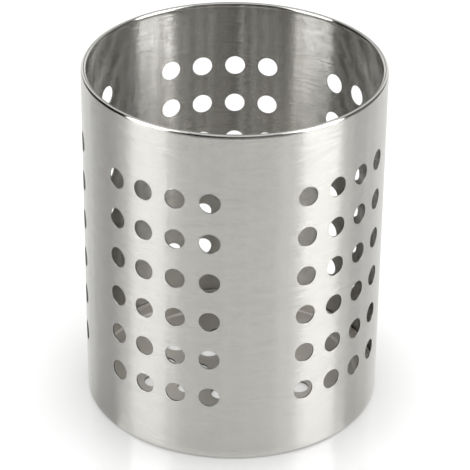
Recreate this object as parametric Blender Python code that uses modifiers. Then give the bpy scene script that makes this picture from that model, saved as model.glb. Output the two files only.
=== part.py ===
"""Cutlery drainer: a free-standing round cup of thin stainless steel sheet, with drain holes all round.

It is two pressed pieces. The wall is a sheet that is punched flat, rolled into a tube and seam-welded. Its
top edge is curled inwards into a bead and its bottom edge is turned in to a narrow ledge. The base is a
shallow pan that drops in from above and stands up against the wall in a short flange. It sits on the ledge,
and its floor is pressed down a little inside the ledge, which centres it.

The origin is the centre of the underside, +Z is up, and -Y is the front that the wide plain panel faces.
"""

import math

import bmesh
import bpy
from mathutils import Matrix, Vector

# Driving dimensions, in metres
OUTER_DIAMETER = 0.116
HEIGHT = 0.140
SHEET = 0.0005
CLEARANCE = 0.0003

# Wall: rim curl and turned-in foot
RIM_INSIDE_RADIUS = 0.00055
FOOT_INSIDE_RADIUS = 0.0009
FOOT_LEDGE_WIDTH = 0.0050

# Wall: punched holes, in groups with plain panels of unequal width between them
WALL_HOLE_DIAMETER = 0.0080
COLUMN_PITCH = 0.01336
ROW_PITCH = 0.0168
GROUPS = 5
COLUMNS = 4
ROWS = 6
PANEL_SHARES = (1.236, 0.98, 1.02, 1.143, 1.087)
FIRST_PANEL_CENTRE = math.radians(9.9)

# Base pan
FLANGE_HEIGHT = 0.0060
PAN_INSIDE_RADIUS = 0.0010
SEAT_LAND_WIDTH = 0.0056
FLOOR_STEP_RUN = 0.0020
FLOOR_STEP_DROP = 0.0005
DRAIN_HOLE_DIAMETER = 0.0080
DRAIN_PITCH = 0.0141
DRAIN_GRID_TURN = math.radians(-17.0)
DRAIN_FIELD_RADIUS = 0.0370

# Cutting tools and mesh fineness
CUT_OVERRUN = 0.0020
MERGE_DISTANCE = 0.00001
TURNED_STEPS = 64
HOLE_SIDES = 12
CURL_UNDER_STEPS = 5
CURL_TOP_STEPS = 2
BEND_STEPS = 3
FLOOR_STEP_POINTS = 3

# Sizes that follow from the ones above
OUTER_RADIUS = OUTER_DIAMETER / 2
WALL_INNER_RADIUS = OUTER_RADIUS - SHEET
RIM_RADIUS = RIM_INSIDE_RADIUS + SHEET
PAN_BOTTOM = SHEET + CLEARANCE
PAN_RADIUS = WALL_INNER_RADIUS - CLEARANCE

STEEL = {"color": (0.60, 0.59, 0.57, 1.0), "metallic": 1.0}


def arc(centre_x, centre_z, radius, start, end, steps):
    """Points of an arc in the section plane, from one angle to another, both ends included."""
    points = []
    for index in range(steps + 1):
        angle = start + (end - start) * index / steps
        points.append(Vector((centre_x + radius * math.cos(angle), centre_z + radius * math.sin(angle))))
    return points


def sheet_section(face, thickness):
    """Closed section of a sheet, from the line of its outer face. The metal lies on the right of the line."""
    back = []
    for index, point in enumerate(face):
        before = (point - face[index - 1]).normalized() if index else None
        after = (face[index + 1] - point).normalized() if index + 1 < len(face) else None
        along = (before or after) + (after or before)
        along.normalize()
        across = Vector((along.y, -along.x))
        lean = along.dot(before or after)
        back.append(point + across * (thickness / lean))
    return face + back[::-1]


def collection_named(name):
    """A new collection under the scene."""
    found = bpy.data.collections.new(name)
    bpy.context.scene.collection.children.link(found)
    return found


def steel(name, roughness):
    """A brushed stainless steel finish."""
    material = bpy.data.materials.new(name)
    material.use_nodes = True
    shader = material.node_tree.nodes["Principled BSDF"]
    shader.inputs["Base Color"].default_value = STEEL["color"]
    shader.inputs["Metallic"].default_value = STEEL["metallic"]
    shader.inputs["Roughness"].default_value = roughness
    return material


def turned_sheet(name, section, material, collection):
    """An object whose closed section, in X and Z, is turned about Z."""
    mesh = bpy.data.meshes.new(name)
    corners = [(point.x, 0.0, point.y) for point in section]
    edges = [(index, (index + 1) % len(corners)) for index in range(len(corners))]
    on_axis = [index for index, point in enumerate(section) if point.x < MERGE_DISTANCE]
    edges = [edge for edge in edges if not (edge[0] in on_axis and edge[1] in on_axis)]
    mesh.from_pydata(corners, edges, [])
    mesh.materials.append(material)
    turned = bpy.data.objects.new(name, mesh)
    collection.objects.link(turned)
    screw = turned.modifiers.new("Turn", "SCREW")
    screw.axis = "Z"
    screw.angle = math.tau
    screw.steps = TURNED_STEPS
    screw.render_steps = TURNED_STEPS
    screw.use_merge_vertices = True
    screw.merge_threshold = MERGE_DISTANCE
    screw.use_smooth_shade = True
    return turned


def punch(name, placements, diameter, length, collection):
    """One cutter object with a round punch at each placement. A punch is centred and runs along its local Z."""
    cutter_mesh = bpy.data.meshes.new(name)
    tools = bmesh.new()
    for placement in placements:
        bmesh.ops.create_cone(
            tools,
            cap_ends=True,
            segments=HOLE_SIDES,
            radius1=diameter / 2,
            radius2=diameter / 2,
            depth=length,
            matrix=placement,
        )
    tools.to_mesh(cutter_mesh)
    tools.free()
    cutter = bpy.data.objects.new(name, cutter_mesh)
    cutter.hide_render = True
    cutter.display_type = "WIRE"
    collection.objects.link(cutter)
    return cutter


def cut(target, cutter):
    """Punches the cutter's holes through the target."""
    boolean = target.modifiers.new("Punch", "BOOLEAN")
    boolean.operation = "DIFFERENCE"
    boolean.solver = "EXACT"
    boolean.object = cutter


def column_angles():
    """The turn of each column of wall holes from the front, positive towards +X."""
    column_step = COLUMN_PITCH / OUTER_RADIUS
    group_width = (COLUMNS - 1) * column_step
    panels_left = math.tau - GROUPS * group_width
    panels = [panels_left * share / sum(PANEL_SHARES) for share in PANEL_SHARES]
    angles = []
    start = FIRST_PANEL_CENTRE + panels[0] / 2
    for group in range(GROUPS):
        angles += [start + column * column_step for column in range(COLUMNS)]
        start += group_width + panels[(group + 1) % GROUPS]
    return angles


def wall_hole_placements():
    """Radial punches for the rows of every column, centred on the wall's height."""
    lowest_row = HEIGHT / 2 - (ROWS - 1) * ROW_PITCH / 2
    middle_radius = OUTER_RADIUS - SHEET / 2
    tilt = Matrix.Rotation(math.pi / 2, 4, "X")
    placements = []
    for angle in column_angles():
        for row in range(ROWS):
            out = Matrix.Translation((0.0, -middle_radius, lowest_row + row * ROW_PITCH)) @ tilt
            placements.append(Matrix.Rotation(angle, 4, "Z") @ out)
    return placements


def drain_hole_placements():
    """Upright punches on a square grid, as many as lie wholly inside the drain field."""
    floor_middle = SHEET / 2 - FLOOR_STEP_DROP
    count = int(DRAIN_FIELD_RADIUS / DRAIN_PITCH)
    turn = Matrix.Rotation(DRAIN_GRID_TURN, 4, "Z")
    placements = []
    for column in range(-count, count + 1):
        for row in range(-count, count + 1):
            place = Vector((column * DRAIN_PITCH, row * DRAIN_PITCH, floor_middle))
            if place.xy.length + DRAIN_HOLE_DIAMETER / 2 <= DRAIN_FIELD_RADIUS:
                placements.append(turn @ Matrix.Translation(place))
    return placements


def wall_face():
    """Outer face of the wall in section: round the rim curl, down the wall, round the foot and in to the ledge."""
    rim_x = OUTER_RADIUS - RIM_RADIUS
    rim_z = HEIGHT - RIM_RADIUS
    curl_reach = (RIM_RADIUS - SHEET - CLEARANCE) / RIM_RADIUS
    curl_start = math.tau - math.acos(curl_reach)
    foot_radius = FOOT_INSIDE_RADIUS + SHEET
    face = arc(rim_x, rim_z, RIM_RADIUS, curl_start, math.pi / 2, CURL_UNDER_STEPS)
    face += arc(rim_x, rim_z, RIM_RADIUS, math.pi / 2, 0.0, CURL_TOP_STEPS)[1:]
    face += arc(OUTER_RADIUS - foot_radius, foot_radius, foot_radius, 0.0, -math.pi / 2, BEND_STEPS)
    face.append(Vector((OUTER_RADIUS - FOOT_LEDGE_WIDTH, 0.0)))
    return face


def pan_face():
    """Under face of the pan in section: down the flange, in along the seat land, down the step and to the centre."""
    bend_radius = PAN_INSIDE_RADIUS + SHEET
    face = [Vector((PAN_RADIUS, FLANGE_HEIGHT))]
    face += arc(PAN_RADIUS - bend_radius, bend_radius, bend_radius, 0.0, -math.pi / 2, BEND_STEPS)
    step_start = PAN_RADIUS - SEAT_LAND_WIDTH
    for index in range(FLOOR_STEP_POINTS + 1):
        share = index / FLOOR_STEP_POINTS
        drop = FLOOR_STEP_DROP * (1.0 - math.cos(math.pi * share)) / 2
        face.append(Vector((step_start - FLOOR_STEP_RUN * share, -drop)))
    face.append(Vector((0.0, -FLOOR_STEP_DROP)))
    return face


def build_wall(collection, cutters, stand):
    """The rolled and punched wall, with its curled rim and turned-in foot."""
    wall = turned_sheet("perforated_wall", sheet_section(wall_face(), SHEET), steel("wall_steel", 0.28), collection)
    length = SHEET + 2 * CUT_OVERRUN
    cut(wall, punch("wall_punches", wall_hole_placements(), WALL_HOLE_DIAMETER, length, cutters))
    wall.parent = stand
    return wall


def build_base(collection, cutters, stand):
    """The pressed base pan, with its drain holes, resting on the wall's ledge."""
    base = turned_sheet("base_pan", sheet_section(pan_face(), SHEET), steel("base_steel", 0.32), collection)
    length = SHEET + 2 * CUT_OVERRUN
    tool = punch("drain_punches", drain_hole_placements(), DRAIN_HOLE_DIAMETER, length, cutters)
    cut(base, tool)
    for piece in (base, tool):
        piece.parent = stand
        piece.location.z = PAN_BOTTOM
    return base


def main():
    for old in list(bpy.data.objects):
        bpy.data.objects.remove(old, do_unlink=True)
    parts = collection_named("cutlery_drainer")
    cutters = collection_named("cutters")
    stand = bpy.data.objects.new("cutlery_drainer_origin", None)
    parts.objects.link(stand)
    build_wall(parts, cutters, stand)
    build_base(parts, cutters, stand)


if __name__ == "__main__":
    main()
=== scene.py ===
"""Brushed steel cutlery drainer: the dressed model of the cup and the plain studio that it stands in."""

import logging
import math
from collections.abc import Collection, Mapping, Sequence
from dataclasses import dataclass, field
from enum import Enum

import bmesh
import bpy
from mathutils import Matrix, Vector


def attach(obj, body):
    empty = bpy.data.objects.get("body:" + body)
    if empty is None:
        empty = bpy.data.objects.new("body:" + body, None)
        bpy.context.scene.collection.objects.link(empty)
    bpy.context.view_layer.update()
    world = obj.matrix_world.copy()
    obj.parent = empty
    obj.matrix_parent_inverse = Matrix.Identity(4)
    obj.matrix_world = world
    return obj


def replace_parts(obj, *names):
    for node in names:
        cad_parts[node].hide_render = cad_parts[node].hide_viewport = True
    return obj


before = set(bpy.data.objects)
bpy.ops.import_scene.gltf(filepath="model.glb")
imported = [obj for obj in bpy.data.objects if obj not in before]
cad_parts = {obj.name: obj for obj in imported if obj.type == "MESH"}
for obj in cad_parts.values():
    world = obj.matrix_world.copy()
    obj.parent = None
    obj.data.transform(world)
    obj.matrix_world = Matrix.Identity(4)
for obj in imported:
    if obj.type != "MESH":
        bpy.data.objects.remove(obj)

log = logging.getLogger("cutlery_drainer")

Pair = tuple[float, float]
Point = tuple[float, float, float]
Colour = tuple[float, float, float]
Marks = tuple[float, float, float]
Ring = Sequence[int]
ROOT_BODY = "root"

# The marks that a mesh carries for its material: burnished edges, which also get a painted sheen,
# inner faces, and sheared faces, which also get painted shade.
MARKS = ("wear_and_sheen_edge", "inner_face", "cut_face")

# Noise values: their middle, and the ranges over which tone and roughness change.
NOISE_MIDDLE = 0.5
TONE_NOISE = (0.35, 0.65)
ROUGHNESS_NOISE = (0.3, 0.7)

# The shares of the broad and the fine lines in the depth of the brushing, and the tone's clouding.
BROAD_DEPTH, FINE_DEPTH = 0.6, 0.4
CLOUD_SCALE, CLOUD_DETAIL = 45.0, 3.0

# How bright the metal is against its own colour at both ends of the tone, the painted sheen on a
# burnished edge, which takes a share of that colour, and the painted shade on a sheared face.
DARKEST, BRIGHTEST = 0.5, 1.5
PAINTED_SHEEN, PAINTED_SHEEN_SHARE = 1.12, 0.7
PAINTED_CUT_SHADE = 0.2

# What a sheared face adds to the roughness, and the seam's ground strip to shade, roughness and depth.
SHEARED_ROUGHNESS = 0.2
SEAM_SHADE, SEAM_ROUGHNESS, SEAM_DEPTH = 0.04, 0.04, -0.2

# The turns of the normal over a punched edge, how burnished it gets, which polishes it and paints a
# brighter sheen on it, and how fast the shearing, which paints shade, sets in.
EDGE_TURNS = (0.0, math.pi / 6, math.pi / 3, math.pi / 2)
EDGE_WEAR_AND_SHEEN = 0.6
SHEAR_POWER = 4

# What a divisor is kept above.
NEARLY_NOTHING = 0.001

WHITE = (1.0, 1.0, 1.0, 1.0)


class Wire:
    """An output socket that reads like a number in an expression."""

    def __init__(self, graph: "Graph", socket: bpy.types.NodeSocket) -> None:
        """Wraps an output socket of a graph."""
        self.graph = graph
        self.socket = socket

    def maths(self, operation: str, *others: "Wire | float", swapped: bool = False) -> "Wire":
        """Adds a Math node that works on this value.

        Args:
            operation: The Math node's operation.
            others: The other operands.
            swapped: Whether this value comes last.

        Returns:
            The result.
        """
        operands = [self, *others]
        if swapped:
            operands.reverse()
        node = self.graph.node("ShaderNodeMath", {"operation": operation}, dict(enumerate(operands)))
        return Wire(self.graph, node.outputs[0])

    def __add__(self, other: "Wire | float") -> "Wire":
        """This value plus another."""
        return self.maths("ADD", other)

    def __radd__(self, other: float) -> "Wire":
        """Another value plus this one."""
        return self.maths("ADD", other)

    def __sub__(self, other: "Wire | float") -> "Wire":
        """This value less another."""
        return self.maths("SUBTRACT", other)

    def __rsub__(self, other: float) -> "Wire":
        """Another value less this one."""
        return self.maths("SUBTRACT", other, swapped=True)

    def __mul__(self, other: "Wire | float") -> "Wire":
        """This value times another."""
        return self.maths("MULTIPLY", other)

    def __rmul__(self, other: float) -> "Wire":
        """Another value times this one."""
        return self.maths("MULTIPLY", other)

    def __truediv__(self, other: "Wire | float") -> "Wire":
        """This value over another."""
        return self.maths("DIVIDE", other)

    def clamped(self) -> "Wire":
        """This value kept from 0 to 1."""
        return self.maths("MINIMUM", 1.0).maths("MAXIMUM", 0.0)

    def between(self, first: "Wire | float", second: "Wire | float") -> "Wire":
        """Goes from one value to another as this value goes from 0 to 1."""
        return self * (second - first) + first

    def remapped(self, low: float, high: float, out_low: float, out_high: float) -> "Wire":
        """Maps a range of this value smoothly to another range.

        Args:
            low: The value that gives out_low.
            high: The value that gives out_high.
            out_low: The lowest result.
            out_high: The highest result.

        Returns:
            The mapped value.
        """
        node = self.graph.node(
            "ShaderNodeMapRange",
            {"interpolation_type": "SMOOTHSTEP"},
            {"Value": self, "From Min": low, "From Max": high, "To Min": out_low, "To Max": out_high},
        )
        return Wire(self.graph, node.outputs["Result"])


class Graph:
    """A node tree, with one method that makes any node in it."""

    def __init__(self, tree: bpy.types.NodeTree) -> None:
        """Takes over the tree of a material or of the world, and empties it."""
        self.tree = tree
        tree.nodes.clear()

    def node(
        self,
        kind: str,
        settings: Mapping[str, object] | None = None,
        sockets: Mapping[str | int, object] | None = None,
    ) -> bpy.types.Node:
        """Makes a node.

        Args:
            kind: The node's type.
            settings: Its own settings, set first.
            sockets: Its inputs, each a Wire, an output socket or a value.

        Returns:
            The node.
        """
        made = self.tree.nodes.new(kind)
        for name, value in (settings or {}).items():
            setattr(made, name, value)
        for key, value in (sockets or {}).items():
            source = value.socket if isinstance(value, Wire) else value
            if isinstance(source, bpy.types.NodeSocket):
                self.tree.links.new(source, made.inputs[key])
            else:
                made.inputs[key].default_value = source
        return made

    def wire(self, node: bpy.types.Node, output: str | int = 0) -> Wire:
        """One output of a node."""
        return Wire(self, node.outputs[output])

    def mixed(self, share: Wire | float, first: Wire | Colour, second: Wire | Colour) -> Wire:
        """Mixes two colours.

        Args:
            share: How much of the second colour shows.
            first: A colour, or a link to one.
            second: A colour, or a link to one.

        Returns:
            The mixed colour.
        """
        first, second = (
            value if isinstance(value, Wire) else (*value, 1.0) for value in (first, second)
        )
        node = self.node("ShaderNodeMix", {"data_type": "RGBA"}, {0: share, 6: first, 7: second})
        return self.wire(node, 2)

    def vectors(self, operation: str, *operands: Wire | Point) -> Wire:
        """Adds a Vector Math node whose result is a vector."""
        node = self.node("ShaderNodeVectorMath", {"operation": operation}, dict(enumerate(operands)))
        return self.wire(node)

    def scaled(self, vector: Wire, factor: Wire | float) -> Wire:
        """A vector times a value."""
        node = self.node("ShaderNodeVectorMath", {"operation": "SCALE"}, {0: vector, "Scale": factor})
        return self.wire(node)

    def dot(self, vector: Wire, direction: Point) -> Wire:
        """How far a vector reaches in a direction."""
        node = self.node("ShaderNodeVectorMath", {"operation": "DOT_PRODUCT"}, {0: vector, 1: direction})
        return self.wire(node, "Value")

    def place(self, kind: str) -> Wire:
        """A set of texture coordinates."""
        return self.wire(self.node("ShaderNodeTexCoord"), kind)

    def axes(self, vector: Wire) -> list[Wire]:
        """The X, Y and Z of a vector."""
        node = self.node("ShaderNodeSeparateXYZ", {}, {0: vector})
        return [self.wire(node, axis) for axis in "XYZ"]

    def ray(self, kind: str) -> Wire:
        """1 for rays of a kind, such as Camera, and 0 for others."""
        return self.wire(self.node("ShaderNodeLightPath"), f"Is {kind} Ray")


class Grain(Enum):
    """The way in which the brushing lines run."""

    ROUND = "round the axis"
    STRAIGHT = "along X"


class LineSet(Enum):
    """The sets of lines: the shares of the finish's line width and length, and what shifts the set."""

    BROAD = (1.0, 1.0, 0.0)
    FINE = (0.25, 0.5, 0.37)
    SIDE = (0.8, 1.0, 0.81)
    RISE = (0.4, 0.8, 0.53)
    HAIR = (1.0, 0.5, 0.19)


@dataclass(frozen=True)
class FaceFinish:
    """How one face of a sheet is brushed.

    Its lines' faces lean along the grain by `side_lean` and across it by `rise_lean`, and those of the
    finest lines by `hairline_lean`, all as slopes. `tone` is how far the tone changes.
    """

    roughness: float
    side_lean: float
    rise_lean: float
    hairline_lean: float
    tone: float


@dataclass(frozen=True)
class BrushedSteel:
    """Brushed stainless steel, with lines of several widths, burnished edges that get a painted sheen
    and sheared faces that get painted shade. Lengths are in metres.

    Attributes:
        colour: The colour of the metal.
        grain: The way in which the lines run.
        outer: The outer face.
        inner: The inner face.
        line_roughness: How much the roughness changes from line to line.
        edge_roughness: The roughness of a burnished edge.
        anisotropy: How much the lines stretch a reflection.
        anisotropy_turn: The turn of that stretch.
        line_width: The width of a broad line.
        line_length: Its length.
        line_depth: Its depth.
        hairline_width: The width of the finest lines.
        seam_angle: The weld seam's angle from the front, or None for no seam.
        seam_width: The width of its ground strip.
    """

    colour: Colour
    grain: Grain
    outer: FaceFinish
    inner: FaceFinish
    line_roughness: float
    edge_roughness: float
    anisotropy: float
    anisotropy_turn: float
    line_width: float
    line_length: float
    line_depth: float
    hairline_width: float
    seam_angle: float | None = None
    seam_width: float = 0.0

    def toned(self, gain: float) -> Colour:
        """The metal's colour, brighter or darker by a factor."""
        return tuple(min(1.0, channel * gain) for channel in self.colour)

    def lines(self, graph: Graph, place: Wire, line_set: LineSet) -> Wire:
        """Long thin noise that runs along the brushing.

        Args:
            graph: The material's nodes.
            place: The place on the object.
            line_set: Which lines.

        Returns:
            A value around NOISE_MIDDLE.
        """
        width_share, length_share, shift = line_set.value
        width = self.hairline_width if line_set is LineSet.HAIR else self.line_width
        along = 1.0 / (self.line_length * length_share)
        across = 1.0 / (width * width_share)
        stretch = {
            Grain.ROUND: (along, along, across),
            Grain.STRAIGHT: (along, across, across),
        }[self.grain]
        shifted = graph.vectors("ADD", place, (shift, shift, shift))
        vector = graph.vectors("MULTIPLY", shifted, stretch)
        sockets = {"Vector": vector, "Scale": 1.0, "Detail": 1.0, "Roughness": 0.5}
        return graph.wire(graph.node("ShaderNodeTexNoise", {"noise_dimensions": "3D"}, sockets))

    def seam(self, graph: Graph, place: Wire) -> Wire:
        """The ground strip along the weld seam.

        Args:
            graph: The material's nodes.
            place: The place on the object.

        Returns:
            1 on the seam's line, falling to 0 at the strip's edge.
        """
        turned, level = math.sin(self.seam_angle), math.cos(self.seam_angle)
        offset = graph.dot(place, (level, turned, 0.0)).maths("ABSOLUTE")
        facing = graph.dot(place, (turned, -level, 0.0)).maths("GREATER_THAN", 0.0)
        return offset.remapped(0.0, self.seam_width / 2, 1.0, 0.0) * facing

    def material(self, name: str) -> bpy.types.Material:
        """Makes the material.

        Args:
            name: The material's name.

        Returns:
            The material.
        """
        made = bpy.data.materials.new(name)
        made.use_nodes = True
        graph = Graph(made.node_tree)
        place = graph.place("Object")
        marks = (graph.node("ShaderNodeAttribute", {"attribute_name": mark}) for mark in MARKS)
        edge, inner, cut = (graph.wire(mark, "Fac") for mark in marks)
        broad = self.lines(graph, place, LineSet.BROAD)
        fine = self.lines(graph, place, LineSet.FINE)
        lines = (broad + fine) / 2.0
        sockets = {"Vector": place, "Scale": CLOUD_SCALE, "Detail": CLOUD_DETAIL}
        cloud = graph.wire(graph.node("ShaderNodeTexNoise", {}, sockets))

        shade = lines.remapped(*TONE_NOISE, 1.0, -1.0) + (NOISE_MIDDLE - cloud)
        shade = shade * inner.between(self.outer.tone, self.inner.tone)
        rough = lines.remapped(*ROUGHNESS_NOISE, -self.line_roughness, self.line_roughness)
        rough = rough + inner.between(self.outer.roughness, self.inner.roughness)
        height = broad * BROAD_DEPTH + fine * FINE_DEPTH
        if self.seam_angle is not None:
            seam = self.seam(graph, place)
            shade = shade + seam * SEAM_SHADE
            rough = rough + seam * SEAM_ROUGHNESS
            height = height + seam * SEAM_DEPTH
        # Half way from the brightest to the darkest is the metal's own colour.
        colour = graph.mixed((shade + 0.5).clamped(), self.toned(BRIGHTEST), self.toned(DARKEST))
        # Painted sheen: burnished edges get a brighter colour.
        colour = graph.mixed(edge * PAINTED_SHEEN_SHARE, colour, self.toned(PAINTED_SHEEN))
        # Painted shade: sheared faces get a much darker colour.
        colour = graph.mixed(cut, colour, self.toned(PAINTED_CUT_SHADE))
        rough = edge.between(rough, self.edge_roughness) + cut * SHEARED_ROUGHNESS

        sockets = {"Strength": 1.0, "Distance": self.line_depth, "Height": height * (1.0 - edge)}
        sockets["Normal"] = self.leaning(graph, place, 1.0 - edge, inner)
        bump = graph.node("ShaderNodeBump", {}, sockets)
        shader = graph.node(
            "ShaderNodeBsdfPrincipled",
            {},
            {
                "Base Color": colour,
                "Metallic": 1.0,
                "Roughness": rough.clamped(),
                "Anisotropic": self.anisotropy,
                "Anisotropic Rotation": self.anisotropy_turn,
                "Normal": bump.outputs[0],
            },
        )
        graph.node("ShaderNodeOutputMaterial", {}, {"Surface": shader.outputs[0]})
        return made

    def leaning(self, graph: Graph, place: Wire, open_face: Wire, inner: Wire) -> Wire:
        """A normal that leans a little from line to line, which frays and streaks a reflection.

        Args:
            graph: The material's nodes.
            place: The place on the object.
            open_face: 1 on the open face, and 0 on a burnished edge.
            inner: 1 on the inner face, and 0 elsewhere.

        Returns:
            The normal.
        """
        face = graph.wire(graph.node("ShaderNodeNewGeometry"), "Normal")
        axis = {Grain.ROUND: (0.0, 0.0, 1.0), Grain.STRAIGHT: (0.0, 1.0, 0.0)}[self.grain]
        along = graph.vectors("CROSS_PRODUCT", axis, face)
        across = graph.vectors("CROSS_PRODUCT", face, along)
        side, rise, hair = (
            self.lines(graph, place, line_set) - NOISE_MIDDLE
            for line_set in (LineSet.SIDE, LineSet.RISE, LineSet.HAIR)
        )
        side = side * inner.between(self.outer.side_lean, self.inner.side_lean)
        rise = rise * inner.between(self.outer.rise_lean, self.inner.rise_lean)
        rise = rise + hair * inner.between(self.outer.hairline_lean, self.inner.hairline_lean)
        leaned = graph.vectors("ADD", face, graph.scaled(along, side * open_face))
        leaned = graph.vectors("ADD", leaned, graph.scaled(across, rise * open_face))
        return graph.vectors("NORMALIZE", leaned)


WALL_FINISH = BrushedSteel(
    colour=(0.545, 0.537, 0.508),
    grain=Grain.ROUND,
    outer=FaceFinish(roughness=0.24, side_lean=0.12, rise_lean=0.010, hairline_lean=2.6, tone=0.045),
    inner=FaceFinish(roughness=0.17, side_lean=0.08, rise_lean=0.36, hairline_lean=3.4, tone=0.045),
    line_roughness=0.03,
    edge_roughness=0.12,
    anisotropy=1.0,
    anisotropy_turn=0.25,
    line_width=0.0006,
    line_length=0.016,
    line_depth=0.000002,
    hairline_width=0.000004,
    seam_angle=math.radians(151.6),
    seam_width=0.0016,
)

BASE_FACE = FaceFinish(roughness=0.42, side_lean=0.02, rise_lean=0.02, hairline_lean=1.0, tone=0.03)
BASE_FINISH = BrushedSteel(
    colour=(0.58, 0.557, 0.528),
    grain=Grain.STRAIGHT,
    outer=BASE_FACE,
    inner=BASE_FACE,
    line_roughness=0.05,
    edge_roughness=0.18,
    anisotropy=0.0,
    anisotropy_turn=0.0,
    line_width=0.0007,
    line_length=0.015,
    line_depth=0.000002,
    hairline_width=0.00001,
)


@dataclass
class SectionPoint:
    """A point of a turned section: its radius and height, its normal, and two of its marks."""

    radius: float
    height: float
    out: float
    up: float
    wear_and_sheen: float = 0.0
    inner: float = 0.0


def arc_points(
    centre: Pair,
    radius: float,
    start: float,
    end: float,
    steps: int,
    side: float = 1.0,
    wear_and_sheen: float = 0.0,
) -> list[SectionPoint]:
    """Points along an arc of a section, both ends included.

    Args:
        centre: The radius and height of the arc's centre.
        radius: The arc's radius.
        start: The angle at its start.
        end: The angle at its end.
        steps: How many steps it has.
        side: 1 where the face looks away from the centre, and -1 where it looks to it.
        wear_and_sheen: How polished the face is there, which also paints a brighter sheen on it.

    Returns:
        The points.
    """
    points = []
    for index in range(steps + 1):
        angle = start + (end - start) * index / steps
        across, up = math.cos(angle), math.sin(angle)
        place = (centre[0] + radius * across, centre[1] + radius * up)
        points.append(SectionPoint(*place, side * across, side * up, wear_and_sheen))
    return points


@dataclass(frozen=True)
class EdgeRing:
    """A ring of vertices round a punched hole.

    It lies `back` outside the hole's radius and `depth` under the sheet's near face. Its normal looks
    `out` of that face and `inward` into the hole.
    """

    back: float
    depth: float
    out: float
    inward: float

    def marks(self, inner: bool) -> Marks:
        """How far each of MARKS holds there."""
        # Burnishing, which polishes the edge and paints a brighter sheen on it, peaks half way round.
        wear_and_sheen = EDGE_WEAR_AND_SHEEN * math.sin(2.0 * math.asin(min(1.0, self.inward)))
        return wear_and_sheen, float(inner), self.inward**SHEAR_POWER


def punched_edges(
    sheet: float,
    near_round: float,
    far_round: float,
    far_turns: Sequence[float] = EDGE_TURNS[::-1],
) -> list[EdgeRing]:
    """The rings of a punched hole with rounded edges, from the sheet's near face through to its far one.

    Args:
        sheet: The sheet's thickness.
        near_round: The radius of the round at the near face.
        far_round: The radius of the round at the far face.
        far_turns: The turns of the normal at the far face.

    Returns:
        The rings.
    """
    rings = []
    for side, edge_round, turns in ((1.0, near_round, EDGE_TURNS), (-1.0, far_round, far_turns)):
        for turn in turns:
            level, steep = math.cos(turn), math.sin(turn)
            down = edge_round * (1.0 - level)
            depth = down if side > 0.0 else sheet - down
            rings.append(EdgeRing(edge_round * (1.0 - steep), depth, side * level, steep))
    return rings


@dataclass
class SheetMesh:
    """Vertices with their normals and marks, and faces, of a piece of sheet, before the mesh is made."""

    places: list[Point] = field(default_factory=list)
    normals: list[Point] = field(default_factory=list)
    marks: list[Marks] = field(default_factory=list)
    faces: list[tuple[int, ...]] = field(default_factory=list)

    def add(self, place: Point, normal: Point, marks: Marks) -> int:
        """Adds a vertex.

        Args:
            place: Its place.
            normal: Its normal.
            marks: How far each of MARKS holds there, from 0 to 1.

        Returns:
            The vertex's number.
        """
        self.places.append(tuple(place))
        self.normals.append(tuple(normal))
        self.marks.append(marks)
        return len(self.places) - 1

    def ring(self, point: SectionPoint, angles: Sequence[float]) -> Ring:
        """Adds a section point at each of the given angles round the axis.

        Args:
            point: The point of the section.
            angles: The angles from the front, positive towards +X.

        Returns:
            The numbers of the vertices.
        """
        made = []
        for angle in angles:
            across, along = math.sin(angle), -math.cos(angle)
            place = (point.radius * across, point.radius * along, point.height)
            normal = (point.out * across, point.out * along, point.up)
            made.append(self.add(place, normal, (point.wear_and_sheen, point.inner, 0.0)))
        return made

    def join(self, first: Ring, second: Ring, open_at: Collection[int] = ()) -> None:
        """Joins two closed rings of the same count with four-sided faces.

        Args:
            first: The ring that comes first along the section.
            second: The next ring.
            open_at: The steps round the ring that get no face.
        """
        for index in range(len(first)):
            if index not in open_at:
                after = (index + 1) % len(first)
                self.faces.append((first[index], second[index], second[after], first[after]))

    def fill(self, loops: Sequence[Ring], facing: float) -> None:
        """Fills a flat face between an outer loop and the loops of its holes.

        Args:
            loops: The loops of vertex numbers.
            facing: 1 where the face looks up, and -1 where it looks down.
        """
        flat = bmesh.new()
        numbers = {}
        edges = []
        for loop in loops:
            corners = [flat.verts.new(self.places[number]) for number in loop]
            numbers.update(zip(corners, loop))
            edges += [flat.edges.new(pair) for pair in zip(corners, corners[1:] + corners[:1])]
        bmesh.ops.triangle_fill(flat, use_beauty=True, edges=edges, normal=(0.0, 0.0, facing))
        for face in flat.faces:
            corners = [numbers[corner] for corner in face.verts]
            if face.normal.z * facing < 0.0:
                corners.reverse()
            self.faces.append(tuple(corners))
        flat.free()

    def made(self, name: str, material: bpy.types.Material) -> bpy.types.Object:
        """Makes the object, with its exact normals and its marks for wear, painted sheen and painted
        shade.

        Args:
            name: The object's name.
            material: Its material.

        Returns:
            The object.
        """
        mesh = bpy.data.meshes.new(name)
        mesh.from_pydata(self.places, [], self.faces)
        mesh.polygons.foreach_set("use_smooth", [True] * len(mesh.polygons))
        for mark, values in zip(MARKS, zip(*self.marks)):
            mesh.attributes.new(mark, "FLOAT", "POINT").data.foreach_set("value", values)
        mesh.normals_split_custom_set_from_vertices(self.normals)
        mesh.materials.append(material)
        mesh.update()
        made = bpy.data.objects.new(name, mesh)
        bpy.context.scene.collection.objects.link(made)
        return made


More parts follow.
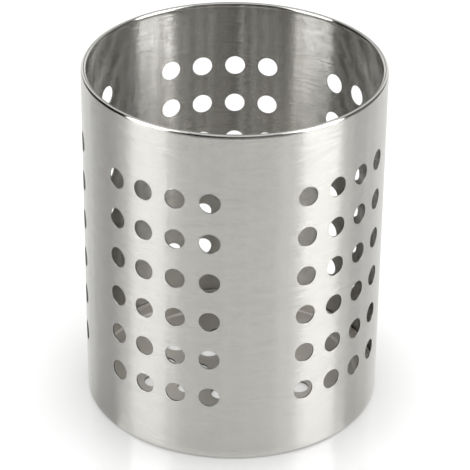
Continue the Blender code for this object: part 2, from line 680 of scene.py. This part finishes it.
@dataclass
class PunchedWall:
    """The rolled and punched wall, with its curled rim and turned-in foot. Lengths are in metres."""

    outer_radius: float = 0.058
    height: float = 0.140
    sheet: float = 0.0005
    rim_inside_radius: float = 0.00055
    curl_gap: float = 0.0003
    foot_inside_radius: float = 0.0009
    foot_ledge_width: float = 0.0050
    hole_radius: float = 0.0040
    column_pitch: float = 0.01336
    row_pitch: float = 0.0168
    groups: int = 5
    columns: int = 4
    rows: int = 6
    panel_shares: tuple[float, ...] = (1.236, 0.98, 1.02, 1.143, 1.087)
    first_panel_centre: float = math.radians(9.9)
    outer_edge_round: float = 0.00014
    inner_edge_round: float = 0.00006
    inner_edge_turns: tuple[float, ...] = (math.pi / 2, math.pi / 4, 0.0)
    plain_margin: float = 0.0003
    field_blend: float = 0.5
    cell_steps: int = 8
    plain_rows: int = 7
    curl_outside_steps: int = 30
    curl_inside_steps: int = 24
    shoulder_steps: int = 4
    foot_steps: int = 8
    edge_steps: int = 6
    # How polished the foot and the rim are; both also get a painted sheen.
    foot_wear_and_sheen: float = 0.3
    rim_polish_and_sheen: float = 0.72
    shoulder_turn: float = math.radians(16.0)
    shoulder_drop: float = 0.0007
    finish: BrushedSteel = WALL_FINISH

    def column_angles(self) -> tuple[list[float], list[int]]:
        """The angles of the mesh's lines round the wall, and where each column's lines start.

        Returns:
            The angles from the front, and for each column the number of its first line.
        """
        step = self.column_pitch / self.outer_radius
        left = math.tau - self.groups * (self.columns - 1) * step
        panels = [left * share / sum(self.panel_shares) for share in self.panel_shares]
        angles, starts = [], []
        edge = self.first_panel_centre + panels[0] / 2 - step / 2
        for group in range(self.groups):
            for _ in range(self.columns):
                starts.append(len(angles))
                angles += [edge + step * index / self.cell_steps for index in range(self.cell_steps)]
                edge += step
            plain = panels[(group + 1) % self.groups] - step
            count = round(plain / step * self.cell_steps)
            angles += [edge + plain * index / count for index in range(count)]
            edge += plain
        return angles, starts

    def rim_points(self, rim: Pair, curl_end: float) -> list[SectionPoint]:
        """The outside of the curled rim, and the shoulder below it, over which its turn fades out.

        Args:
            rim: The radius and height of the curl's centre.
            curl_end: The angle at which the curl ends.

        Returns:
            The points, from the curl's end over the rim to the shoulder's foot.
        """
        radius = self.rim_inside_radius + self.sheet
        # The rim's polish also paints a brighter sheen on it.
        steps, polish = self.curl_outside_steps, self.rim_polish_and_sheen
        points = arc_points(rim, radius, curl_end, 0.0, steps, wear_and_sheen=polish)[:-1]
        for point in points:
            if point.up > 0.0 and point.out > 0.0:
                turn = math.atan2(point.up, point.out)
                turn += self.shoulder_turn * (1.0 - turn / (math.pi / 2))
                point.out, point.up = math.cos(turn), math.sin(turn)
        for index in range(self.shoulder_steps + 1):
            share = index / self.shoulder_steps
            soft = min(1.0, 2.0 * (1.0 - share))
            turn = self.shoulder_turn * soft
            place = (self.outer_radius, rim[1] - self.shoulder_drop * share)
            points.append(SectionPoint(*place, math.cos(turn), math.sin(turn), polish * soft))
        return points

    def face_points(self, radius: float, heights: Sequence[float]) -> list[SectionPoint]:
        """Points up or down a face of the wall, without its ends. It looks out where it runs down.

        Args:
            radius: The face's radius.
            heights: Where the face starts, where its holed field starts and ends, and where it ends.

        Returns:
            The points, where number plain_rows - 1 is the field's first.
        """
        out = math.copysign(1.0, heights[0] - heights[-1])
        counts = (self.plain_rows, self.rows * self.cell_steps, self.plain_rows)
        levels = [
            start + (end - start) * (index / count)
            for start, end, count in zip(heights, heights[1:], counts)
            for index in range(count)
        ]
        return [SectionPoint(radius, level, out, 0.0) for level in levels[1:]]

    def section(self) -> tuple[list[SectionPoint], int, int]:
        """The wall's closed section, from the curl's end over the rim, down outside and back up inside.

        Returns:
            The points, and the numbers of the outer point at the top of the holed field and of the inner
            point at its bottom.
        """
        half_sheet = self.sheet / 2
        rim_radius = self.rim_inside_radius + self.sheet
        rim = (self.outer_radius - rim_radius, self.height - rim_radius)
        curl_end = math.tau - math.acos((self.rim_inside_radius - self.curl_gap) / rim_radius)
        tip_reach = self.rim_inside_radius + half_sheet
        tip = (rim[0] + tip_reach * math.cos(curl_end), rim[1] + tip_reach * math.sin(curl_end))
        foot_radius = self.foot_inside_radius + self.sheet
        foot = (self.outer_radius - foot_radius, foot_radius)
        ledge = (self.outer_radius - self.foot_ledge_width + half_sheet, half_sheet)
        middle, reach = self.height / 2, self.rows * self.row_pitch / 2
        low, high = middle - reach, middle + reach
        quarter = math.pi / 2
        edge_steps = self.edge_steps

        points = self.rim_points(rim, curl_end)
        outer_top = len(points) + self.plain_rows - 1
        points += self.face_points(self.outer_radius, (points[-1].height, high, low, foot[1]))
        points += arc_points(foot, foot_radius, 0.0, -quarter, self.foot_steps, wear_and_sheen=self.foot_wear_and_sheen)
        points += arc_points(ledge, half_sheet, -quarter, -3 * quarter, edge_steps, wear_and_sheen=1.0)
        points += arc_points(foot, self.foot_inside_radius, -quarter, 0.0, edge_steps, side=-1.0)
        inner_bottom = len(points) + self.plain_rows - 1
        points += self.face_points(self.outer_radius - self.sheet, (foot[1], low, high, rim[1]))
        for point in points:
            point.inner = float(point.radius < self.outer_radius and point.out < 0.0)
        inside_steps = self.curl_inside_steps
        points += arc_points(rim, self.rim_inside_radius, 0.0, curl_end, inside_steps, side=-1.0)
        points += arc_points(tip, half_sheet, curl_end + math.pi, curl_end, edge_steps, wear_and_sheen=1.0)[1:-1]
        return points, outer_top, inner_bottom

    def hole_rings(self, sheet: SheetMesh, centre: Pair, field_loop: Sequence[Pair]) -> list[Ring]:
        """Adds the rings of one punched hole, from the outer face through the sheet to the inner face.

        Args:
            sheet: The wall's mesh.
            centre: The hole's angle and height.
            field_loop: The angle and height of each corner of the square field round the hole.

        Returns:
            The rings, from the outer face to the inner one.
        """
        angle, height = centre
        across = Vector((math.cos(angle), math.sin(angle), 0.0))
        outer, inner = self.outer_edge_round, self.inner_edge_round
        rings = [
            EdgeRing(outer + self.plain_margin, 0.0, 1.0, 0.0),
            *punched_edges(self.sheet, outer, inner, self.inner_edge_turns),
            EdgeRing(inner + self.plain_margin, self.sheet, -1.0, 0.0),
        ]

        def ring(edge: EdgeRing, blend: float = 0.0) -> Ring:
            """Adds one ring.

            Args:
                edge: The ring.
                blend: How far it is drawn to the square field round the hole, from 0 to 1.

            Returns:
                The numbers of its vertices.
            """
            made = []
            radius = self.outer_radius - edge.depth
            reach = self.hole_radius + edge.back
            for index, (loop_angle, loop_height) in enumerate(field_loop):
                # The loop starts at the field's lower left corner.
                turn = -3 * math.pi / 4 + math.tau * index / len(field_loop)
                place_angle = angle + math.asin(reach * math.cos(turn) / radius)
                place_height = height + reach * math.sin(turn)
                place_angle += (loop_angle - place_angle) * blend
                place_height += (loop_height - place_height) * blend
                face = Vector((math.sin(place_angle), -math.cos(place_angle), 0.0))
                away = across * math.cos(turn) + Vector((0.0, 0.0, math.sin(turn)))
                normal = (face * edge.out - away * edge.inward).normalized()
                place = face * radius
                place.z = place_height
                made.append(sheet.add(place, normal, edge.marks(inner=edge.out < 0.0)))
            return made

        return [ring(rings[0], self.field_blend), *map(ring, rings), ring(rings[-1], self.field_blend)]

    def build(self) -> bpy.types.Object:
        """Builds and dresses the wall.

        Returns:
            The wall's object.
        """
        angles, starts = self.column_angles()
        points, outer_top, inner_bottom = self.section()
        steps = self.cell_steps
        field_steps = self.rows * steps
        field_rows = {top + row for top in (outer_top, inner_bottom) for row in range(field_steps)}
        holed = {start + index for start in starts for index in range(steps)}
        sheet = SheetMesh()
        rings = [sheet.ring(point, angles) for point in points]
        for row, ring in enumerate(rings):
            sheet.join(ring, rings[(row + 1) % len(rings)], holed if row in field_rows else ())

        square = [(index, 0) for index in range(steps)]
        square += [(steps, index) for index in range(steps)]
        square += [(steps - index, steps) for index in range(steps)]
        square += [(0, steps - index) for index in range(steps)]
        step = self.column_pitch / self.outer_radius
        for start in starts:
            for row in range(self.rows):
                outer, inner, loop = [], [], []
                for index, rise in square:
                    line, high = (start + index) % len(angles), row * steps + rise
                    outer.append(rings[outer_top + field_steps - high][line])
                    inner.append(rings[inner_bottom + high][line])
                    line_angle = angles[start] + step * index / steps
                    loop.append((line_angle, points[inner_bottom + high].height))
                height = self.height / 2 + (row + 0.5 - self.rows / 2) * self.row_pitch
                centre = (angles[start] + step / 2, height)
                hole = [outer, *self.hole_rings(sheet, centre, loop), inner]
                for first, second in zip(hole, hole[1:]):
                    sheet.join(second, first)
        wall = sheet.made("steel_wall", self.finish.material("wall_steel"))
        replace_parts(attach(wall, ROOT_BODY), "perforated_wall")
        return wall


@dataclass
class BasePan:
    """The pressed base pan, with its flange, sunk floor and drain holes. Lengths are in metres."""

    bottom: float = 0.0008
    radius: float = 0.0572
    sheet: float = 0.0005
    flange_height: float = 0.0060
    inside_radius: float = 0.0010
    seat_land_width: float = 0.0056
    step_run: float = 0.0020
    step_drop: float = 0.0005
    hole_radius: float = 0.0040
    pitch: float = 0.0141
    grid_turn: float = math.radians(-17.0)
    field_radius: float = 0.0370
    edge_round: float = 0.00008
    fill_radius: float = 0.0400
    round_steps: int = 192
    hole_steps: int = 40
    bend_steps: int = 8
    finish: BrushedSteel = BASE_FINISH

    def section(self) -> list[SectionPoint]:
        """The pan's section, from the fill circle under the floor, out round the flange and back on top.

        Returns:
            The points.
        """
        bend = self.inside_radius + self.sheet
        corner = (self.radius - bend, self.bottom + bend)
        land_edge = self.radius - self.seat_land_width

        def step(top: float, side: float) -> list[SectionPoint]:
            """The smooth step between the floor and the land, from the floor outwards.

            Args:
                top: The land's height.
                side: 1 on the upper face, and -1 on the lower one.

            Returns:
                The points.
            """
            made = []
            for index in range(self.bend_steps + 1):
                share = index / self.bend_steps
                rise = self.step_drop * (1.0 - math.cos(math.pi * share)) / 2
                slope = self.step_drop * math.pi * math.sin(math.pi * share) / 2 / self.step_run
                length = math.hypot(1.0, slope)
                place = (land_edge - self.step_run * (1.0 - share), top - self.step_drop + rise)
                made.append(SectionPoint(*place, -side * slope / length, side / length))
            return made

        half = self.sheet / 2
        lip = (self.radius - half, self.bottom + self.flange_height - half)
        floor = self.bottom - self.step_drop
        points = [SectionPoint(self.fill_radius, floor, 0.0, -1.0)]
        points += step(self.bottom, -1.0)
        points += arc_points(corner, bend, -math.pi / 2, 0.0, self.bend_steps)
        points += arc_points(lip, half, 0.0, math.pi, self.bend_steps, wear_and_sheen=1.0)
        points += arc_points(corner, self.inside_radius, 0.0, -math.pi / 2, self.bend_steps, side=-1.0)
        points += step(self.bottom + self.sheet, 1.0)[::-1]
        points.append(SectionPoint(self.fill_radius, floor + self.sheet, 0.0, 1.0))
        return points

    def hole_places(self) -> list[Vector]:
        """The centres of the drain holes: those of a square grid that lie wholly inside the field.

        Returns:
            The centres.
        """
        count = int(self.field_radius / self.pitch)
        steps = range(-count, count + 1)
        grid = [Vector((column * self.pitch, row * self.pitch)) for column in steps for row in steps]
        turn = Matrix.Rotation(self.grid_turn, 2)
        reach = self.field_radius - self.hole_radius
        return [turn @ place for place in grid if place.length <= reach]

    def hole_rings(self, sheet: SheetMesh, centre: Vector) -> list[Ring]:
        """Adds the rings of one drain hole, from the top face down to the under face.

        Args:
            sheet: The pan's mesh.
            centre: The hole's centre.

        Returns:
            The rings, from the top to the bottom.
        """
        top = self.bottom - self.step_drop + self.sheet
        rings = []
        for edge in punched_edges(self.sheet, self.edge_round, self.edge_round):
            ring = []
            reach = self.hole_radius + edge.back
            for index in range(self.hole_steps):
                turn = math.tau * index / self.hole_steps
                across, along = math.cos(turn), math.sin(turn)
                place = (centre.x + reach * across, centre.y + reach * along, top - edge.depth)
                normal = (-across * edge.inward, -along * edge.inward, edge.out)
                ring.append(sheet.add(place, normal, edge.marks(inner=False)))
            rings.append(ring)
        return rings

    def build(self) -> bpy.types.Object:
        """Builds and dresses the pan.

        Returns:
            The pan's object.
        """
        sheet = SheetMesh()
        angles = [math.tau * index / self.round_steps for index in range(self.round_steps)]
        rings = [sheet.ring(point, angles) for point in self.section()]
        for first, second in zip(rings, rings[1:]):
            sheet.join(second, first)
        holes = [self.hole_rings(sheet, centre) for centre in self.hole_places()]
        for hole in holes:
            for first, second in zip(hole, hole[1:]):
                sheet.join(first, second)
        sheet.fill([rings[-1], *(hole[0] for hole in holes)], 1.0)
        sheet.fill([rings[0], *(hole[-1] for hole in holes)], -1.0)
        pan = sheet.made("steel_base_pan", self.finish.material("base_steel"))
        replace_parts(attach(pan, ROOT_BODY), "base_pan")
        return pan


@dataclass(frozen=True)
class Softbox:
    """A soft light with feathered sides, given by what the cup sees of it. It shows in the metal only.

    Attributes:
        name: The light's name.
        low: The azimuth from -Y towards +X and the elevation of its lower end, in degrees.
        high: The same of its upper end.
        spread: How many degrees it covers from side to side.
        feather: How many of them each side takes to fade.
        brightness: How bright its middle looks, where 1 is white.
        distance: How far its ends stand from the cup, in metres.
        layers: How many lamps make the feathered sides.
    """

    name: str
    low: Pair
    high: Pair
    spread: float
    feather: float
    brightness: float
    distance: float = 1.3
    layers: int = 4

    def end(self, direction: Pair) -> Vector:
        """Where one of its ends stands.

        Args:
            direction: The end's azimuth and elevation, in degrees.

        Returns:
            The place.
        """
        azimuth, elevation = (math.radians(angle) for angle in direction)
        level = math.cos(elevation)
        place = Vector((math.sin(azimuth) * level, -math.cos(azimuth) * level, math.sin(elevation)))
        return place * self.distance

    def build(self, centre: Vector) -> None:
        """Makes the lamps.

        Args:
            centre: The point that the light faces.
        """
        low, high = self.end(self.low), self.end(self.high)
        middle = (low + high) / 2
        along = (high - low).normalized()
        back = (middle - along * middle.dot(along)).normalized()
        turn = Matrix((along.cross(back), along, back)).transposed().to_4x4()
        for layer in range(self.layers):
            angle = self.spread + self.feather * (1.0 - 2.0 * (layer + 0.5) / self.layers)
            lamp = bpy.data.lights.new(f"{self.name}_{layer}", "AREA")
            lamp.shape = "RECTANGLE"
            lamp.size = 2 * middle.length * math.tan(math.radians(angle) / 2)
            lamp.size_y = (high - low).length
            # A lamp looks as bright as its power over pi times its area.
            lamp.energy = self.brightness / self.layers * math.pi * lamp.size * lamp.size_y
            made = bpy.data.objects.new(lamp.name, lamp)
            made.matrix_world = Matrix.Translation(centre + middle) @ turn
            made.visible_diffuse = False
            bpy.context.scene.collection.objects.link(made)


@dataclass(frozen=True)
class Card:
    """A grey card that lies on the table beside the cup and shows in its metal only.

    Its shade is full from one slope on, as seen from the cards' corner, and fades between two others.
    """

    shade: float
    full: float
    fade: Pair

    def darkening(self, slope: Wire) -> Wire:
        """How much it darkens the table at a slope."""
        return slope.remapped(0.0, self.full, 0.0, self.shade) * slope.remapped(*self.fade, 1.0, 0.0)


@dataclass
class Studio:
    """The pale table, the white room, the lights and the camera. Lengths are in metres.

    The table gives off `table_lift` of light to the camera and `table_shown` to the metal, and keeps
    `table_polish` of a mirror image. The metal sees the room's levels, the camera sees `backdrop`, and
    the fill lights the pieces. A level sets in between the sines or cosines of angles in its edge.
    """

    camera_back: float = 0.7974
    camera_height: float = 0.5255
    camera_pitch: float = math.radians(29.945)
    camera_yaw: float = math.radians(0.057)
    camera_roll: float = math.radians(0.648)
    focal_pixels: float = 2348.6
    frame_pixels: float = 470.0
    sensor_width: float = 36.0
    near_clip: float = 0.05
    table_size: float = 6.0
    table_colour: Colour = (0.80, 0.80, 0.80)
    table_matt: float = 0.8
    table_lift: float = 0.33
    table_shown: float = 0.25
    table_polish: float = 0.14
    table_roughness: float = 0.06
    contact_reach: float = 0.035
    contact_shade: float = 0.52
    card_corner: Pair = (0.03, 0.038)
    card_left: Card = Card(shade=0.40, full=0.12, fade=(0.5, 1.15))
    card_right: Card = Card(shade=0.26, full=0.15, fade=(0.4, 0.95))
    backdrop: float = 1.0
    room_left: float = 0.02
    room_right: float = 0.16
    room_side_edge: Pair = (-0.5, 0.5)
    room_ceiling: float = 1.1
    room_ceiling_edge: Pair = (math.sin(math.radians(64.0)), math.sin(math.radians(78.0)))
    room_back: float = 1.3
    room_back_edge: Pair = (math.cos(math.radians(48.0)), math.cos(math.radians(18.0)))
    room_gap: float = 0.75
    room_gap_edge: Pair = (math.cos(math.radians(14.0)), math.cos(math.radians(5.0)))
    room_gap_low: float = -0.25
    room_fill_front: float = 1.0
    room_fill_back: float = 1.3
    cup_middle: Point = (0.0, 0.0, 0.08)
    softboxes: tuple[Softbox, ...] = (
        Softbox("softbox_left", (-60.5, 10.0), (-91.0, 64.0), spread=26.0, feather=6.0, brightness=14.3),
        Softbox("softbox_right", (63.0, 10.0), (91.0, 64.0), spread=27.5, feather=4.5, brightness=16.6),
    )

    def camera(self) -> None:
        """Places the camera at the photograph's viewing angle."""
        pitch, yaw, roll = self.camera_pitch, self.camera_yaw, self.camera_roll
        flat, down = math.cos(pitch), -math.sin(pitch)
        ahead = Vector((math.sin(yaw) * flat, math.cos(yaw) * flat, down))
        level = Vector((math.cos(yaw), -math.sin(yaw), 0.0))
        upright = level.cross(ahead)
        right = level * math.cos(roll) + upright * math.sin(roll)
        up = upright * math.cos(roll) - level * math.sin(roll)
        lens = bpy.data.cameras.new("photograph_view")
        lens.sensor_fit = "HORIZONTAL"
        lens.sensor_width = self.sensor_width
        lens.lens = self.focal_pixels * self.sensor_width / self.frame_pixels
        lens.clip_start = self.near_clip
        made = bpy.data.objects.new("photograph_view", lens)
        turn = Matrix((right, up, -ahead)).transposed().to_4x4()
        made.matrix_world = Matrix.Translation((0.0, -self.camera_back, self.camera_height)) @ turn
        bpy.context.scene.collection.objects.link(made)
        bpy.context.scene.camera = made

    def seen(self, graph: Graph) -> Wire:
        """1 for what is seen, also mirrored or through glass, and 0 for light that falls."""
        return (graph.ray("Camera") + graph.ray("Glossy") + graph.ray("Transmission")).clamped()

    def room(self) -> None:
        """Makes the room. The metal sees it bright overhead and behind the cup, and darker elsewhere."""
        world = bpy.data.worlds.new("white_room")
        world.use_nodes = True
        graph = Graph(world.node_tree)
        across, along, up = graph.axes(graph.place("Generated"))
        level = (across * across + along * along).maths("SQRT").maths("MAXIMUM", NEARLY_NOTHING)
        ahead = along / level
        side = across.remapped(*self.room_side_edge, self.room_left, self.room_right)
        overhead = up.remapped(*self.room_ceiling_edge, 0.0, 1.0)
        behind = ahead.remapped(*self.room_back_edge, 0.0, 1.0)
        gap = ahead.remapped(*self.room_gap_edge, 0.0, self.room_gap)
        gap = gap * up.remapped(self.room_gap_low, 0.0, 0.0, 1.0)
        near = overhead.between(side, self.room_ceiling)
        shown = (behind * (1.0 - gap)).between(near, self.room_back)
        shown = graph.ray("Camera").between(shown, self.backdrop)
        fill = behind.between(self.room_fill_front, self.room_fill_back)
        strength = self.seen(graph).between(fill, shown)
        light = graph.node("ShaderNodeBackground", {}, {"Color": WHITE, "Strength": strength})
        graph.node("ShaderNodeOutputWorld", {}, {"Surface": light.outputs[0]})
        bpy.context.scene.world = world

    def cards(self, graph: Graph) -> Wire:
        """The grey cards on the table.

        Args:
            graph: The table's nodes.

        Returns:
            How much they darken the table.
        """
        across, along, _ = graph.axes(graph.place("Object"))
        aside, ahead = self.card_corner
        slope = (along + ahead) / (across.maths("ABSOLUTE") - aside).maths("MAXIMUM", NEARLY_NOTHING)
        left = across.maths("LESS_THAN", 0.0)
        shade = left.between(self.card_right.darkening(slope), self.card_left.darkening(slope))
        return shade * graph.ray("Glossy")

    def table(self) -> None:
        """Makes the pale table, which takes a faint mirror image and the cup's shadow."""
        mesh = bpy.data.meshes.new("pale_table")
        half = self.table_size / 2
        corners = [(-half, -half, 0.0), (half, -half, 0.0), (half, half, 0.0), (-half, half, 0.0)]
        mesh.from_pydata(corners, [], [(0, 1, 2, 3)])
        material = bpy.data.materials.new("pale_table")
        material.use_nodes = True
        graph = Graph(material.node_tree)
        sockets = {"Base Color": (*self.table_colour, 1.0), "Roughness": self.table_matt}
        matt = graph.node("ShaderNodeBsdfPrincipled", {}, sockets)
        sockets = {"Base Color": WHITE, "Metallic": 1.0, "Roughness": self.table_roughness}
        polish = graph.node("ShaderNodeBsdfPrincipled", {}, sockets)
        camera = graph.ray("Camera")
        share = camera * self.table_polish
        sockets = {0: share, 1: matt.outputs[0], 2: polish.outputs[0]}
        both = graph.node("ShaderNodeMixShader", {}, sockets)
        strength = self.seen(graph) * self.table_shown + camera * (self.table_lift - self.table_shown)
        lift = graph.node("ShaderNodeEmission", {}, {"Strength": strength})
        lifted = graph.node("ShaderNodeAddShader", {}, {0: both.outputs[0], 1: lift.outputs[0]})
        occlusion = graph.node("ShaderNodeAmbientOcclusion", {}, {"Distance": self.contact_reach})
        nearby = 1.0 - graph.wire(occlusion, "AO")
        shade = self.cards(graph) + nearby * camera * self.contact_shade
        darkened = graph.node("ShaderNodeMixShader", {}, {0: shade, 1: lifted.outputs[0]})
        graph.node("ShaderNodeOutputMaterial", {}, {"Surface": darkened.outputs[0]})
        mesh.materials.append(material)
        made = bpy.data.objects.new("pale_table", mesh)
        bpy.context.scene.collection.objects.link(made)

    def build(self) -> None:
        """Builds the camera, the room, the table and the lights."""
        self.camera()
        self.room()
        self.table()
        for softbox in self.softboxes:
            softbox.build(Vector(self.cup_middle))
            log.info("light %s", softbox.name)


def main() -> None:
    """Builds the cup and its studio in order."""
    logging.basicConfig(level=logging.INFO, format="%(message)s")
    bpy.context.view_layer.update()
    for part in (PunchedWall(), BasePan()):
        piece = part.build()
        log.info("piece %s: %d faces", piece.name, len(piece.data.polygons))
    Studio().build()
    bpy.context.scene.view_settings.view_transform = "Standard"


if __name__ == "__main__":
    main()
